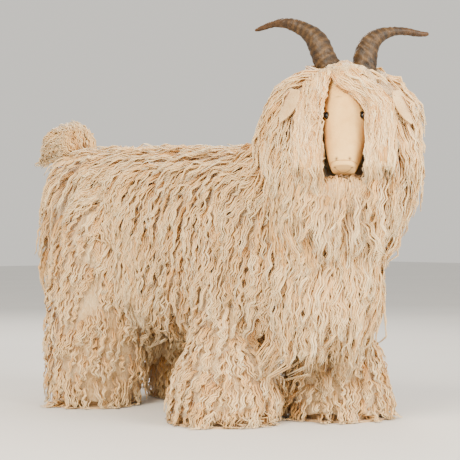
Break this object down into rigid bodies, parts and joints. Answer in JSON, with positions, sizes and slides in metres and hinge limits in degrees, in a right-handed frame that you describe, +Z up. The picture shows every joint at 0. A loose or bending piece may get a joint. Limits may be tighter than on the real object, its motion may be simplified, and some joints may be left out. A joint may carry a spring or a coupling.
{
  "type": "stuffed goat figure",
  "caption": "Life-size standing goat stool figure: long-wool pelts over a padded timber frame, with a leather face, bead eyes, real curved horns, hanging ears and a tail.",
  "frame": {"origin": "on the floor, under the middle of the figure's bounding box", "axes": "+Z up; the goat stands facing -Y with its right side towards -X, and its head is turned to its right"},
  "size_m": [0.523, 1.258, 0.8516],
  "materials": {
    "long_wool": "matte",
    "stuffing": "matte",
    "tanned_hide": "matte",
    "face_hide": "matte",
    "sole_hide": "matte",
    "horn": "satin",
    "eye_glass": "gloss",
    "pine": "matte",
    "birch_ply": "matte",
    "zinc_steel": "satin",
    "brass_tack": "satin"
  },
  "bodies": {
    "body": {"belly_pelt": "long_wool", "body_padding": "stuffing", "coach_bolts": "zinc_steel", "coach_nuts": "zinc_steel", "crown_padding": "stuffing", "face_leather": "face_hide", "foot_screws": "zinc_steel", "frame_screws": "zinc_steel", "front_left_foot_disc": "birch_ply", "front_left_leg_padding": "stuffing", "front_left_leg_pelt": "long_wool", "front_left_leg_post": "pine", "front_left_sole": "sole_hide", "front_left_yoke": "pine", "front_right_foot_disc": "birch_ply", "front_right_leg_padding": "stuffing", "front_right_leg_pelt": "long_wool", "front_right_leg_post": "pine", "front_right_sole": "sole_hide", "front_right_yoke": "pine", "head_block": "pine", "head_plate": "birch_ply", "head_screws": "zinc_steel", "hood_pelt": "long_wool", "horn_screws": "zinc_steel", "left_eye": "eye_glass", "left_horn": "horn", "left_horn_plug": "pine", "left_side_rail": "pine", "neck_gusset": "birch_ply", "neck_padding": "stuffing", "neck_pelt": "long_wool", "neck_post": "pine", "nose_pad": "face_hide", "rear_left_foot_disc": "birch_ply", "rear_left_leg_padding": "stuffing", "rear_left_leg_pelt": "long_wool", "rear_left_leg_post": "pine", "rear_left_sole": "sole_hide", "rear_right_foot_disc": "birch_ply", "rear_right_leg_padding": "stuffing", "rear_right_leg_pelt": "long_wool", "rear_right_leg_post": "pine", "rear_right_sole": "sole_hide", "rear_yoke": "pine", "right_eye": "eye_glass", "right_horn": "horn", "right_horn_plug": "pine", "right_side_rail": "pine", "rump_pelt": "long_wool", "saddle_pelt": "long_wool", "sole_tacks": "brass_tack", "spine_beam": "pine"},
    "ear_right": {"right_ear": "tanned_hide"},
    "ear_left": {"left_ear": "tanned_hide"},
    "tail": {"tail_pelt": "long_wool", "tail_wad": "stuffing"}
  },
  "joints": [
    {"name": "right_ear_lift", "type": "hinge", "parent": "body", "child": "ear_right", "pos_m": [-0.1269, -0.46606, 0.692], "axis": [0.0513, 0.9934, 0.1026], "range_deg": [0, 60]},
    {"name": "left_ear_lift", "type": "hinge", "parent": "body", "child": "ear_left", "pos_m": [0.02491, -0.59659, 0.69], "axis": [-0.983, -0.1272, -0.1324], "range_deg": [0, 60]},
    {"name": "tail_wag", "type": "hinge", "parent": "body", "child": "tail", "pos_m": [-0.00001, 0.4652, 0.57797], "axis": [0, 0.4226, 0.9063], "range_deg": [-25, 25], "stiffness_Nm_per_rad": 0.6}
  ]
}
